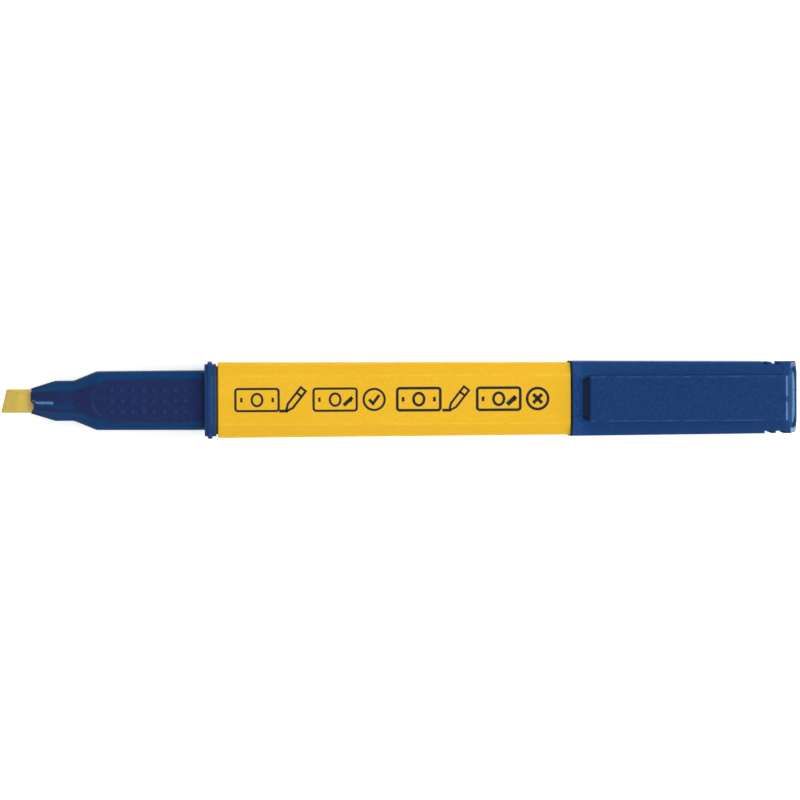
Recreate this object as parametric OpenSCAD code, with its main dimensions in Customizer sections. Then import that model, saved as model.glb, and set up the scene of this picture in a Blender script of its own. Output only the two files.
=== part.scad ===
// Banknote tester pen with its cap posted on the tail.
// X runs along the pen, from the nib to the closed end of the cap. Y is across the broad faces.
// Z is up: the pen lies on its broad back, with the pocket clip on top.

/* [Barrel] */
// Length of the barrel
barrel_l = 68.8; // [60:0.1:90]
// Width of the barrel at the nib end
barrel_front_w = 14.65; // [14.5:0.05:15]
// Width of the barrel at the tail end, less by the mould's draft
barrel_rear_w = 14.05; // [13.9:0.05:14.3]
// Thickness of the barrel
barrel_t = 9.4; // [9.2:0.1:9.6]

/* [Front section] */
// Length from the nib opening to the collar
section_l = 33.8; // [32:0.1:37]
// Width of the part that the fingers hold
section_w = 11.65; // [11.2:0.05:11.65]
// Thickness of the part that the fingers hold
section_t = 7.6; // [7.4:0.1:7.65]
// Width of the narrow neck behind the taper
neck_w = 7.85; // [7.5:0.05:7.85]
// Thickness of the narrow neck
neck_t = 6.2; // [6:0.1:6.2]
// Length of the collar between the section and the barrel
collar_l = 2.3; // [2.1:0.1:3]
// Width of the collar
collar_w = 14.05; // [13.8:0.05:14.4]
// Rows of grip pips across each finger rest
pip_rows = 3; // [1:1:3]
// Columns of grip pips along each finger rest
pip_columns = 8; // [2:1:8]

/* [Nib] */
// Length of nib that stands out of the section
nib_out = 5.8; // [4:0.1:7]
// Width of the nib
nib_w = 4.55; // [4:0.05:4.6]
// Thickness of the nib
nib_t = 2.4; // [2:0.1:2.4]
// How far the slanted tip falls back from its long corner to its short one
nib_slant = 0.85; // [0:0.05:2]

/* [Cap] */
// Length of the cap, from its mouth to its closed end
cap_l = 45.3; // [44.8:0.1:48]
// Width of the cap at its mouth
cap_mouth_w = 14.6; // [14.5:0.05:15]
// Width of the cap at its closed end
cap_head_w = 14; // [13.8:0.05:14.2]
// Thickness of the cap
cap_t = 9.8; // [9.8:0.1:10.4]
// Lean of the end face, which makes the cap longer at its back
end_lean = 15; // [5:1:16]
// Length of the tail that goes into the posted cap
posting_depth = 14; // [8:0.5:20]

/* [Clip] */
// Width of the pocket clip
clip_w = 8.7; // [6:0.1:9]
// Thickness of the pocket clip
clip_t = 1.4; // [1:0.1:2]
// Gap between the clip and the cap
clip_gap = 0.6; // [0.4:0.1:1.2]

/* [Hidden] */
$fn = 48;

// Colours
resin_blue = [0.13, 0.25, 0.44];
section_blue = [0.13, 0.2, 0.37];
barrel_yellow = [0.94, 0.73, 0.18];
ink_amber = [0.82, 0.7, 0.35];
fibre = [0.85, 0.76, 0.5];
film = [0.9, 0.9, 0.88];
natural_white = [0.88, 0.89, 0.9];

// Clearances and walls
seam = 0.3;            // open line between the collar and the barrel
posting_gap = 0.2;     // open line between the barrel and the posted cap
slip = 0.15;           // side clearance of the posted cap on the tail
press = 0.02;          // clearance of a pressed-in part, on each side
eps = 0.01;            // overshoot of a cut
overcut = 1;           // overshoot of a cut that has room

// Stations along X, with the whole pen centred on X = 0
overall_l = nib_out + section_l + collar_l + seam + barrel_l + posting_gap + cap_l;
tip_x = -overall_l / 2;
opening_x = tip_x + nib_out;
collar_x = opening_x + section_l;
barrel_x = collar_x + collar_l + seam;
tail_x = barrel_x + barrel_l;
mouth_x = tail_x + posting_gap;
end_x = -tip_x;

// The common axis stands at half the cap's thickness, so the cap's back lies at Z = 0
axis_z = cap_t / 2;
cap_top = cap_t / 2;

// Cross-section of the barrel and of the cap: an octagon with long flats
flat_w = 9.5;
chamfer_z = 1.6;
corner_r = 0.5;        // start of the rounding before and after each corner

// Barrel cavity, and the stubs that are pressed into it
barrel_rear_t = barrel_t - 0.2;
rim_bevel = 0.25;
cavity_w = 11.9;
cavity_t = 6.9;
cavity_chamfer = [1.6, 1.6];
stub_l = 8;

// Front section
taper_l = 4.7;
neck_l = 3.65;
flare_l = 4.4;
opening_w = 4.85;
opening_t = 2.9;
opening_chamfer = [0.8, 0.7];
opening_r = 0.3;
neck_chamfer = [1.9, 1.6];
section_chamfer = [2.2, 1.6];
section_draft = 0.2;   // how much narrower the section is behind the flare than at the collar
collar_t = 9.2;
seam_w = 13.2;         // spigot that shows in the open line between the collar and the barrel
seam_t = 8.4;
seam_chamfer = [2, 1.6];
rest_front_w = 6.9;    // finger rest: width of its round front end
rest_rear_w = 9;       // finger rest: width at the collar
rest_front = 3.5;      // from the neck to the front end of the finger rest
rest_depth = [0.12, 0.55];
pip_size = 1.05;
pip_h = 0.22;
pip_root = 0.2;        // how deep a pip runs into the section
pip_pitch = [2.05, 2.14];
pip_last = 3.85;       // from the last column of pips to the collar
rib_setback = 0.6;     // rib round the collar, which stops the cap
rib_l = 0.9;
rib_w = 14.95;
rib_t = 9.6;
vent_r = 1;            // air channel beside the nib
vent_y = 1.25;
vent_z = 0.64;

// Nib and reservoir
nib_chisel = [3, 1.3]; // length and end thickness of the chisel bevel
nib_draft = 0.13;      // how much each side of the nib draws in towards the tip
nib_tail = [3.3, 3.2, 1.7];
core_w = 9.2;
core_t = 4.4;
wrap_wall = 0.1;
core_x = opening_x + taper_l + neck_l + flare_l + 1.5;
core_end_x = tail_x + 11;
core_play = 0.3;       // room before and behind the reservoir
chamber_w = core_w + 2 * wrap_wall + 0.2;
chamber_t = core_t + 2 * wrap_wall + 0.2;
chamber_chamfer = [1, 1];
wrap_setback = 1;
wrap_clearance = 0.05; // between the wrapped reservoir and the barrel's inner ribs
guide_wall = 0.8;      // thickness of the barrel's inner ribs
guide_y = 2.4;         // place of the ribs on the broad faces
guide_setback = 1;     // from the pressed-in stubs to the ribs

// Cap
cap_bore_w = 11.95;
cap_bore_t = 7.9;
cap_bore_chamfer = [2.2, 1.6];
head_l = 4;             // from the shell to the far edge of the leaning end face
head_x = end_x - head_l;
lip_l = 0.5;            // small lips that overlap the barrel's narrow sides
lip_h = 3.2;
lip_wall = 0.2;
lip_gap = 0.06;        // between the lips and the barrel
window_l = 3.3;        // side windows in which the end plug's catches sit
window_h = 7.5;
pad_w = 13.05;         // width over the pads behind the windows
window_gap = 0.1;      // round the pads and catches in the windows
catch_l = 0.95;
catch_x = head_x - 2.3;
plug_spigot_l = 5;
plug_well = [8.6, 6.1]; // width and thickness of the hollow in the spigot
well_chamfer = [0.9, 0.8];
plug_wall_x = head_x + 0.5;
oval_w = 11.6;
oval_t = 6.4;
oval_depth = 0.3;
vent_hole_r = 0.28;
vent_hole_pitch = 0.95;
vent_hole_z = 0.4;
vent_holes = 4;
pocket_l = 2.4;        // relief under the clip's tip
pocket_w = 9.1;
pocket_depth = 0.45;

// Inner cap, which seals on the neck when the cap is on the nib
seal_w = 7.95;
seal_t = 6.3;
seal_l = 5.4;          // straight part of the throat
throat_l = 10.2;       // from the mouth of the throat to its narrow end
narrow = [5.4, 3.8];   // width and thickness of the narrow end
seal_wall = 0.7;
notch_r = 0.9;         // air notches in the flange
seal_x = mouth_x + section_l - taper_l - neck_l - 1;
flange_l = 1.2;
inner_end_x = plug_wall_x - 0.15;

// Clip
clip_tip_x = mouth_x + 3.3;
clip_bottom = cap_top + clip_gap;
clip_top = clip_bottom + clip_t;
hinge_r = clip_t / 2;
hinge_x = head_x - 1;
bridge_end_x = head_x + 0.75;
bridge_w = clip_w + 1;
bridge_r = 0.9;
clip_nose_r = 0.5;
hinge_z = clip_bottom + hinge_r;
hinge_clearance = 0.08;
seat_clearance = 0.05; // between the end plug and the shell that it is pressed against
bump_l = 1;
bump_bottom = cap_top - pocket_depth + 0.15;
pocket_x = clip_tip_x - pocket_l / 2;

// Outline of the barrel and cap at width w and thickness t: the flats keep their width along the pen
function shell_outline(w, t) = soft(octagon(w, t, [(w - flat_w) / 2, chamfer_z]), corner_r);

// Outline of an octagon of width w and thickness t, with chamfers of c[0] across and c[1] up
function octagon(w, t, c) = [
    [w / 2, c[1] - t / 2], [w / 2, t / 2 - c[1]], [w / 2 - c[0], t / 2], [c[0] - w / 2, t / 2],
    [-w / 2, t / 2 - c[1]], [-w / 2, c[1] - t / 2], [c[0] - w / 2, -t / 2], [w / 2 - c[0], -t / 2]];

// An outline with each corner cut to a curve that starts r before the corner and ends r after it
function soft(outline, r, steps = 3) = [
    for (i = [0 : len(outline) - 1])
        let (n = len(outline), p = outline[i],
             a = p + r * unit(outline[(i + n - 1) % n] - p),
             b = p + r * unit(outline[(i + 1) % n] - p))
        for (k = [0 : steps]) let (s = k / steps) (1 - s) * (1 - s) * a + 2 * s * (1 - s) * p + s * s * b];
function unit(v) = v / norm(v);

// Places an outline in Y and Z and runs it along X from x0 to x1
module bar(x0, x1, outline) {
    translate([x0, 0, 0]) rotate([90, 0, 90]) linear_extrude(x1 - x0) polygon(outline);
}

// Skins a row of outlines, each given as [x, outline] with the same number of points
module loft(rings) {
    n = len(rings[0][1]);
    last = len(rings) - 1;
    points = [for (ring = rings) for (p = ring[1]) [ring[0], p[0], p[1]]];
    sides = [for (k = [0 : last - 1]) for (i = [0 : n - 1])
        let (a = k * n + i, b = k * n + (i + 1) % n) each [[a, a + n, b], [b, a + n, b + n]]];
    ends = [[for (i = [0 : n - 1]) i], [for (i = [n - 1 : -1 : 0]) last * n + i]];
    polyhedron(points, concat(ends, sides), convexity = 8);
}

// A box from x0 to x1, centred on Y, from z0 to z1
module slab(x0, x1, w, z0, z1) {
    translate([x0, -w / 2, z0]) cube([x1 - x0, w, z1 - z0]);
}

// A bar with round narrow sides
module flat_oval(x0, x1, w, t) {
    slab(x0, x1, w - t, -t / 2, t / 2);
    for (side = [-1, 1])
        translate([x0, side * (w - t) / 2, 0]) rotate([0, 90, 0]) cylinder(d = t, h = x1 - x0);
}

// Puts a part on the common axis
module on_axis() {
    translate([0, 0, axis_z]) children();
}

// A copy turned half round about X, with the original
module both_faces() {
    children();
    rotate([180, 0, 0]) children();
}

// Ribs along the inside of the barrel that hold the reservoir
module reservoir_guides() {
    x0 = barrel_x + stub_l + guide_setback;
    guide_l = barrel_l - 2 * (stub_l + guide_setback);
    reach_t = core_t / 2 + wrap_wall + wrap_clearance;
    reach_w = core_w / 2 + wrap_wall + wrap_clearance;
    both_faces() {
        for (y = [-guide_y, guide_y]) translate([x0, y - guide_wall / 2, reach_t])
            cube([guide_l, guide_wall, cavity_t / 2 - reach_t + eps]);
        translate([x0, reach_w, -guide_wall / 2]) cube([guide_l, cavity_w / 2 - reach_w + eps, guide_wall]);
    }
}

module barrel() {
    front = shell_outline(barrel_front_w, barrel_t);
    front_bevel = shell_outline(barrel_front_w - 2 * rim_bevel, barrel_t - 2 * rim_bevel);
    rear = shell_outline(barrel_rear_w, barrel_rear_t);
    rear_bevel = shell_outline(barrel_rear_w - 2 * rim_bevel, barrel_rear_t - 2 * rim_bevel);
    color(barrel_yellow) on_axis() {
        difference() {
            loft([[barrel_x, front_bevel], [barrel_x + rim_bevel, front],
                  [tail_x - rim_bevel, rear], [tail_x, rear_bevel]]);
            bar(barrel_x - eps, tail_x + eps, octagon(cavity_w, cavity_t, cavity_chamfer));
        }
        reservoir_guides();
    }
}

module tail_plug() {
    nose_l = 0.7;
    nose_x = tail_x + posting_depth - nose_l;
    tail_w = cap_bore_w - 2 * slip;
    tail_t = cap_bore_t - 2 * slip;
    tail = octagon(tail_w, tail_t, cap_bore_chamfer);
    nose = octagon(tail_w - 2 * nose_l, tail_t - 2 * nose_l, cap_bore_chamfer);
    color(resin_blue) on_axis() difference() {
        union() {
            bar(tail_x - stub_l, tail_x + eps, stub());
            bar(tail_x, nose_x, tail);
            loft([[nose_x, tail], [nose_x + nose_l, nose]]);
        }
        bar(tail_x - stub_l - eps, core_end_x + core_play, octagon(chamber_w, chamber_t, chamber_chamfer));
    }
}

// Outline of a part that is pressed into the barrel
function stub() = octagon(cavity_w - 2 * press, cavity_t - 2 * press, cavity_chamfer);

// What the upper finger rest takes away: its floor sinks from the round front to the collar
module finger_rest() {
    x0 = opening_x + taper_l + neck_l + rest_front;
    round_x = x0 + rest_front_w / 2;
    top = section_t / 2;
    fall = atan((rest_depth[1] - rest_depth[0]) / (collar_x - x0));
    intersection() {
        translate([x0, 0, top - rest_depth[0]]) rotate([0, fall, 0])
            translate([-overcut, -section_w / 2, 0])
                cube([collar_x - x0 + 2 * overcut, section_w, 2 * overcut]);
        translate([0, 0, top - overcut]) linear_extrude(2 * overcut) union() {
            translate([round_x, 0]) circle(d = rest_front_w);
            polygon([[round_x, -rest_front_w / 2], [collar_x, -rest_rear_w / 2],
                     [collar_x, rest_rear_w / 2], [round_x, rest_front_w / 2]]);
        }
    }
}

module grip_pips() {
    x0 = opening_x + taper_l + neck_l + rest_front;
    slope = (rest_depth[1] - rest_depth[0]) / (collar_x - x0);
    for (column = [0 : pip_columns - 1], row = [0 : pip_rows - 1]) {
        x = collar_x - pip_last - column * pip_pitch[0];
        y = (row - (pip_rows - 1) / 2) * pip_pitch[1];
        floor_z = section_t / 2 - rest_depth[0] - slope * (x - x0);
        translate([x - pip_size / 2, y - pip_size / 2, floor_z - pip_root])
            cube([pip_size, pip_size, pip_root + pip_h]);
    }
}

module front_section() {
    neck_x = opening_x + taper_l;
    flare_x = neck_x + neck_l;
    rib_x = collar_x + rib_setback;
    opening = soft(octagon(opening_w, opening_t, opening_chamfer), opening_r);
    neck = soft(octagon(neck_w, neck_t, neck_chamfer), corner_r);
    body_front = soft(octagon(section_w - section_draft, section_t, section_chamfer), corner_r);
    body = soft(octagon(section_w, section_t, section_chamfer), corner_r);
    color(section_blue) on_axis() difference() {
        union() {
            difference() {
                loft([[opening_x, opening], [neck_x, neck], [flare_x, neck], [flare_x + flare_l, body_front],
                      [collar_x + eps, body]]);
                both_faces() finger_rest();
            }
            both_faces() grip_pips();
            bar(collar_x, collar_x + collar_l, shell_outline(collar_w, collar_t));
            bar(rib_x, rib_x + rib_l, shell_outline(rib_w, rib_t));
            bar(collar_x + collar_l - eps, barrel_x, octagon(seam_w, seam_t, seam_chamfer));
            bar(barrel_x - eps, barrel_x + stub_l, stub());
        }
        slab(opening_x - overcut, core_x, nib_w + 2 * press, -nib_t / 2 - press, nib_t / 2 + press);
        both_faces() translate([opening_x - overcut, -vent_y, vent_z]) rotate([0, 90, 0])
            cylinder(r = vent_r, h = core_x - opening_x + overcut);
        bar(core_x - core_play, barrel_x + stub_l + eps, octagon(chamber_w, chamber_t, chamber_chamfer));
    }
}

module nib() {
    color(ink_amber) on_axis() {
        intersection() {
            // Plan: straight sides and a slanted tip, with its long corner at -Y
            translate([0, 0, -nib_t]) linear_extrude(2 * nib_t) polygon([
                [tip_x, nib_draft - nib_w / 2], [tip_x + nib_slant, nib_w / 2 - nib_draft],
                [core_x, nib_w / 2], [core_x, -nib_w / 2]]);
            // Side: a chisel that thins towards the tip
            rotate([90, 0, 0]) translate([0, 0, -nib_w]) linear_extrude(2 * nib_w) polygon([
                [tip_x, -nib_chisel[1] / 2], [tip_x + nib_chisel[0], -nib_t / 2], [core_x, -nib_t / 2],
                [core_x, nib_t / 2], [tip_x + nib_chisel[0], nib_t / 2], [tip_x, nib_chisel[1] / 2]]);
        }
        slab(core_x - eps, core_x + nib_tail[0], nib_tail[1], -nib_tail[2] / 2, nib_tail[2] / 2);
    }
}

module reservoir_core() {
    color(fibre) on_axis() difference() {
        flat_oval(core_x, core_end_x, core_w, core_t);
        slab(core_x - eps, core_x + nib_tail[0] + press, nib_tail[1] + 2 * press,
             -nib_tail[2] / 2 - press, nib_tail[2] / 2 + press);
    }
}

module reservoir_wrap() {
    color(film) on_axis() difference() {
        flat_oval(core_x + wrap_setback, core_end_x - wrap_setback,
                  core_w + 2 * wrap_wall, core_t + 2 * wrap_wall);
        flat_oval(core_x, core_end_x, core_w + 2 * press, core_t + 2 * press);
    }
}

module cap_shell() {
    lip_y = barrel_rear_w / 2 + lip_gap;
    color(resin_blue) on_axis() {
        difference() {
            loft([[mouth_x, shell_outline(cap_mouth_w, cap_t)], [head_x, shell_outline(cap_head_w, cap_t)]]);
            bar(mouth_x - eps, head_x + eps, octagon(cap_bore_w, cap_bore_t, cap_bore_chamfer));
            slab(head_x - window_l, head_x + eps, cap_mouth_w + 1, -window_h / 2, window_h / 2);
            slab(pocket_x, pocket_x + pocket_l, pocket_w, cap_top - pocket_depth, cap_top + overcut);
        }
        for (side = [-1, 1]) translate([mouth_x - lip_l, side > 0 ? lip_y : -lip_y - lip_wall, -lip_h / 2])
            cube([lip_l + lip_wall, lip_wall, lip_h]);
    }
}

module inner_cap() {
    throat = soft(octagon(seal_w, seal_t, neck_chamfer), corner_r);
    well = soft(octagon(narrow[0], narrow[1], well_chamfer), opening_r);
    outside = soft(octagon(seal_w + 2 * seal_wall, seal_t + 2 * seal_wall, neck_chamfer), corner_r);
    nose = soft(octagon(narrow[0] + 2 * seal_wall, narrow[1] + 2 * seal_wall, well_chamfer), opening_r);
    color(natural_white) on_axis() difference() {
        union() {
            difference() {
                bar(seal_x, seal_x + flange_l, press_outline());
                for (side = [-1, 1]) translate([seal_x - eps, side * cap_bore_w / 2, 0])
                    rotate([0, 90, 0]) cylinder(r = notch_r, h = flange_l + 2 * eps);
            }
            loft([[seal_x, outside], [seal_x + seal_l + seal_wall, outside],
                  [seal_x + throat_l + seal_wall, nose], [inner_end_x, nose]]);
        }
        loft([[seal_x - eps, throat], [seal_x + seal_l, throat],
              [seal_x + throat_l, well], [inner_end_x - seal_wall, well]]);
    }
}

// Outline of a part that is pressed into the cap's bore
function press_outline() = octagon(cap_bore_w - 2 * press, cap_bore_t - 2 * press, cap_bore_chamfer);

module cap_end_plug() {
    spigot_x = head_x - plug_spigot_l;
    window_z = window_h / 2 - window_gap;
    color(resin_blue) on_axis() difference() {
        union() {
            difference() {
                bar(head_x + seat_clearance, end_x, shell_outline(cap_head_w, cap_t));
                end_face() slab(0, cap_t, cap_mouth_w + 1, -cap_t, cap_t);
            }
            bar(spigot_x, head_x + 2 * seat_clearance, press_outline());
            slab(head_x - window_l + window_gap, head_x + 2 * seat_clearance, pad_w, -window_z, window_z);
            slab(catch_x, catch_x + catch_l, cap_head_w, -window_z, window_z);
            clip_bridge();
        }
        bar(spigot_x - eps, plug_wall_x, octagon(plug_well[0], plug_well[1], well_chamfer));
        end_face() flat_oval(-oval_depth, 1, oval_w, oval_t);
        for (k = [0 : vent_holes - 1])
            translate([plug_wall_x - eps, (k - (vent_holes - 1) / 2) * vent_hole_pitch, vent_hole_z])
                rotate([0, 90, 0]) cylinder(r = vent_hole_r, h = head_l);
    }
}

// Places X = 0 on the leaning end face, at its middle
module end_face() {
    translate([end_x - cap_t / 2 * tan(end_lean), 0, 0]) rotate([0, -end_lean, 0]) children();
}

// Raised block of the end plug that carries the root of the clip
module clip_bridge() {
    difference() {
        union() {
            slab(hinge_x, bridge_end_x - bridge_r, bridge_w, cap_top + seat_clearance, clip_top);
            slab(head_x + seat_clearance, bridge_end_x, bridge_w, cap_top - 1, clip_top - bridge_r);
            translate([bridge_end_x - bridge_r, 0, clip_top - bridge_r]) rotate([90, 0, 0])
                cylinder(r = bridge_r, h = bridge_w, center = true);
        }
        translate([hinge_x, 0, hinge_z]) rotate([90, 0, 0])
            cylinder(r = hinge_r + hinge_clearance, h = bridge_w + 1, center = true);
    }
}

module pocket_clip() {
    color(resin_blue) on_axis() {
        difference() {
            slab(clip_tip_x, hinge_x, clip_w, clip_bottom, clip_top);
            translate([clip_tip_x - eps, -clip_w, clip_top - clip_nose_r + eps])
                cube([clip_nose_r, 2 * clip_w, clip_nose_r]);
        }
        translate([clip_tip_x + clip_nose_r, 0, clip_top - clip_nose_r]) rotate([90, 0, 0])
            cylinder(r = clip_nose_r, h = clip_w, center = true);
        translate([hinge_x, 0, hinge_z]) rotate([90, 0, 0]) cylinder(r = hinge_r, h = clip_w, center = true);
        // Gripping bump under the tip
        slab(clip_tip_x, clip_tip_x + bump_l, clip_w, bump_bottom, clip_bottom + eps);
    }
}

barrel();
tail_plug();
front_section();
nib();
reservoir_core();
reservoir_wrap();
cap_shell();
inner_cap();
cap_end_plug();
pocket_clip();
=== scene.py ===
"""Banknote tester pen with its cap posted on the tail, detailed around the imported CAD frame."""
import math

import bmesh
import bpy
import numpy as np
from mathutils import Matrix, Vector


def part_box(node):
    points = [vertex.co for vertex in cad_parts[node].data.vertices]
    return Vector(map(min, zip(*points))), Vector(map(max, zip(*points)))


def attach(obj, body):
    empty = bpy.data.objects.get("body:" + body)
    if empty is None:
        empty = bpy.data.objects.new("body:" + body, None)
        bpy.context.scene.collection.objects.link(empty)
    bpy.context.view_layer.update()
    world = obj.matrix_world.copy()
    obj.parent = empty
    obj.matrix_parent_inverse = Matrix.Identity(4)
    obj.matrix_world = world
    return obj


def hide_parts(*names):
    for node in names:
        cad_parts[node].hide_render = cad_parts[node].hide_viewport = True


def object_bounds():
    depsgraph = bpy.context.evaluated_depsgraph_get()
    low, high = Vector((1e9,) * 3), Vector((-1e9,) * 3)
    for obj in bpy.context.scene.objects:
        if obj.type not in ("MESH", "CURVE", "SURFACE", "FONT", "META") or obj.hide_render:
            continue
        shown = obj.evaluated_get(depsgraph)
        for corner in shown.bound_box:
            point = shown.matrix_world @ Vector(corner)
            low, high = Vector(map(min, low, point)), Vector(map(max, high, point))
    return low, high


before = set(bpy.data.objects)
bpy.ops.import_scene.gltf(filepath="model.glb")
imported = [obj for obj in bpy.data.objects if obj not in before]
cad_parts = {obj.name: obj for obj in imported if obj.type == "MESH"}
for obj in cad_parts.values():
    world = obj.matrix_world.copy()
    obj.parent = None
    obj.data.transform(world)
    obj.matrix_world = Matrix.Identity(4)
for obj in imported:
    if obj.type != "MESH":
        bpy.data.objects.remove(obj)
cad_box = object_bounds()

MM = 0.001

# ----- places, from the CAD frame, in millimetres


def box_mm(node):
    """Lowest and highest corner of a CAD node, in millimetres."""
    low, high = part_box(node)
    return np.array(low) / MM, np.array(high) / MM


barrel_lo, barrel_hi = box_mm("barrel")
section_lo, section_hi = box_mm("front_section")
nib_lo, nib_hi = box_mm("nib")
shell_lo, shell_hi = box_mm("cap_shell")
plug_hi = box_mm("cap_end_plug")[1]
clip_lo, clip_hi = box_mm("pocket_clip")

AXIS_Z = (barrel_lo[2] + barrel_hi[2]) / 2
BARREL_REAR_W = 14.05
BARREL_DRAFT = 0.2
FLAT_W = 9.5
CHAMFER_Z = 1.6
CAP_T = shell_hi[2] - shell_lo[2]
CAP_TOP = CAP_T / 2
HEAD_X = shell_hi[0]
END_X = plug_hi[0]
LIP_L = 0.5
MOUTH_X = shell_lo[0] + LIP_L
TAPER_L = 4.7
NECK_L = 3.65
FLARE_L = 4.4
SECTION_L = 33.8
COLLAR_L = 2.3
SECTION_T = 7.6
COLLAR_W = 14.05
COLLAR_T = 9.2
RIB_W = section_hi[1] - section_lo[1]
RIB_T = section_hi[2] - section_lo[2]
# Width, thickness, chamfers and corner radius of inner outlines.
BARREL_BORE = (11.9, 6.9, 1.6, 1.6, 0.3)
CAP_BORE = (11.95, 7.9, 2.2, 1.6, 0.3)
COLLAR_ROOT = (10.4, 7, 2, 1.5, 0.3)
COLLAR_SEAM = (13.2, 8.4, 2, 1.6, 0.3)
SPIGOT = (11.8, 6.8, 1.6, 1.6, 0.3)
NIB_CHANNEL = (4.62, 2.5, 0.5, 0.5, 0.2)
PIP_COLUMNS = 8
PIP_ROWS = 3
PIP_PITCH = (2.05, 2.14)
PIP_SIZE = 1.05
PIP_RISE = 0.14
PIP_ROOT = 0.45
PIP_START = 3.85
COLLAR_X = section_lo[0] + SECTION_L
REST_FRONT_X = section_lo[0] + TAPER_L + NECK_L + 3.5
REST_DEPTH = (0.16, 0.6)
REST_HALF = (3.5, 4.6)
POCKET_X = clip_lo[0] - 1.2
POCKET_L = 2.4
OVAL_W = 11.5
OVAL_T = 6.6

# ----- outlines and lofts


def chamfered(w, t, cy, cz, r, steps=5, flats=(1, 1, 1)):
    """An octagon w by t with filleted corners: its points (y, z) and their outward normals.

    flats are the numbers of segments along each side, chamfer and broad face."""
    side, chamfer, face = flats
    segments = [side, chamfer, face, chamfer, side, chamfer, face, chamfer]
    a, b = w / 2, t / 2
    corners = np.array([(a, cz - b), (a, b - cz), (a - cy, b), (cy - a, b),
                        (-a, b - cz), (-a, cz - b), (cy - a, -b), (a - cy, -b)])
    arcs = []
    for i, corner in enumerate(corners):
        back = corners[i - 1] - corner
        ahead = corners[(i + 1) % 8] - corner
        reach = 0.45 * min(np.linalg.norm(back), np.linalg.norm(ahead))
        back, ahead = back / np.linalg.norm(back), ahead / np.linalg.norm(ahead)
        half = math.acos(np.clip(back @ ahead, -1, 1)) / 2
        radius = min(r, reach * math.tan(half))
        middle = (back + ahead) / np.linalg.norm(back + ahead)
        centre = corner + middle * radius / math.sin(half)
        start = corner + back * radius / math.tan(half) - centre
        turn = math.pi - 2 * half
        arc = []
        for k in range(steps + 1):
            c, s = math.cos(turn * k / steps), math.sin(turn * k / steps)
            spoke = np.array([c * start[0] - s * start[1], s * start[0] + c * start[1]])
            arc.append((centre + spoke, spoke / radius))
        arcs.append(arc)
    points, normals = [], []
    for i, arc in enumerate(arcs):
        for point, normal in arc:
            points.append(point)
            normals.append(normal)
        first, second = arc[-1], arcs[(i + 1) % 8][0]
        for k in range(1, segments[i]):
            share = k / segments[i]
            points.append(first[0] * (1 - share) + second[0] * share)
            normals.append(first[1])
    return np.array(points), np.array(normals)


def shell_outline(w, t, r=0.45, **more):
    """The outline of the barrel and the cap: their flats keep one width."""
    return chamfered(w, t, (w - FLAT_W) / 2, CHAMFER_Z, r, **more)


def inset(outline, depth):
    """An outline's points moved inwards along their normals."""
    return outline[0] - outline[1] * depth


def on_stadium(points, w, t):
    """Where the rays from the middle through these points cross an oval w by t with straight flats."""
    half_flat, r = (w - t) / 2, t / 2
    crossed = []
    for y, z in points:
        size = math.hypot(y, z)
        dy, dz = y / size, z / size
        reach = r / abs(dz) if abs(dz) > 1e-6 else 1e9
        if abs(reach * dy) > half_flat:
            c = half_flat * abs(dy)
            reach = c + math.sqrt(c * c - half_flat * half_flat + r * r)
        crossed.append((reach * dy, reach * dz))
    return np.array(crossed)


def ring(x, points):
    """Points (y, z) about the pen's axis, placed at x, which is a number or one number per point."""
    return np.column_stack([np.broadcast_to(x, len(points)), points[:, 0], points[:, 1] + AXIS_Z])


def loft(rings, loop=False):
    """(vertices, faces) of the skin through rings; a loop joins the last ring to the first, as in a tube."""
    count = len(rings[0])
    faces = []
    spans = [(k, k + 1) for k in range(len(rings) - 1)] + ([(len(rings) - 1, 0)] if loop else [])
    for a, b in spans:
        for i in range(count):
            j = (i + 1) % count
            faces.append((a * count + i, a * count + j, b * count + j, b * count + i))
    if not loop:
        faces.append(tuple(range(count)))
        faces.append(tuple((len(rings) - 1) * count + i for i in reversed(range(count))))
    return np.vstack(rings), faces


def quarter(steps):
    """Angles from 0 to a right angle."""
    return [math.pi / 2 * k / steps for k in range(steps + 1)]


def front_rim(x, outline, r, steps):
    """Rings of a rounded rim that starts at x and opens towards +X."""
    return [ring(x + r * (1 - math.cos(a)), inset(outline, r * (1 - math.sin(a)))) for a in quarter(steps)]


def rear_rim(x, outline, r, steps):
    """Rings of a rounded rim that closes towards +X and ends at x."""
    return [ring(x - r * (1 - math.sin(a)), inset(outline, r * (1 - math.cos(a)))) for a in quarter(steps)]


def block(x0, x1, y0, y1, z0, z1, bevel=0.12, segments=3):
    """(vertices, faces) of a box with rounded edges; z is measured from the pen's axis."""
    bm = bmesh.new()
    bmesh.ops.create_cube(bm, size=1)
    for v in bm.verts:
        v.co = Vector(((x0 + x1) / 2 + v.co.x * (x1 - x0), (y0 + y1) / 2 + v.co.y * (y1 - y0),
                       (z0 + z1) / 2 + v.co.z * (z1 - z0) + AXIS_Z))
    if bevel:
        bmesh.ops.bevel(bm, geom=bm.edges[:], offset=bevel, segments=segments, profile=0.5, affect="EDGES")
    vertices = np.array([v.co for v in bm.verts])
    faces = [tuple(v.index for v in f.verts) for f in bm.faces]
    bm.free()
    return vertices, faces


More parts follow.
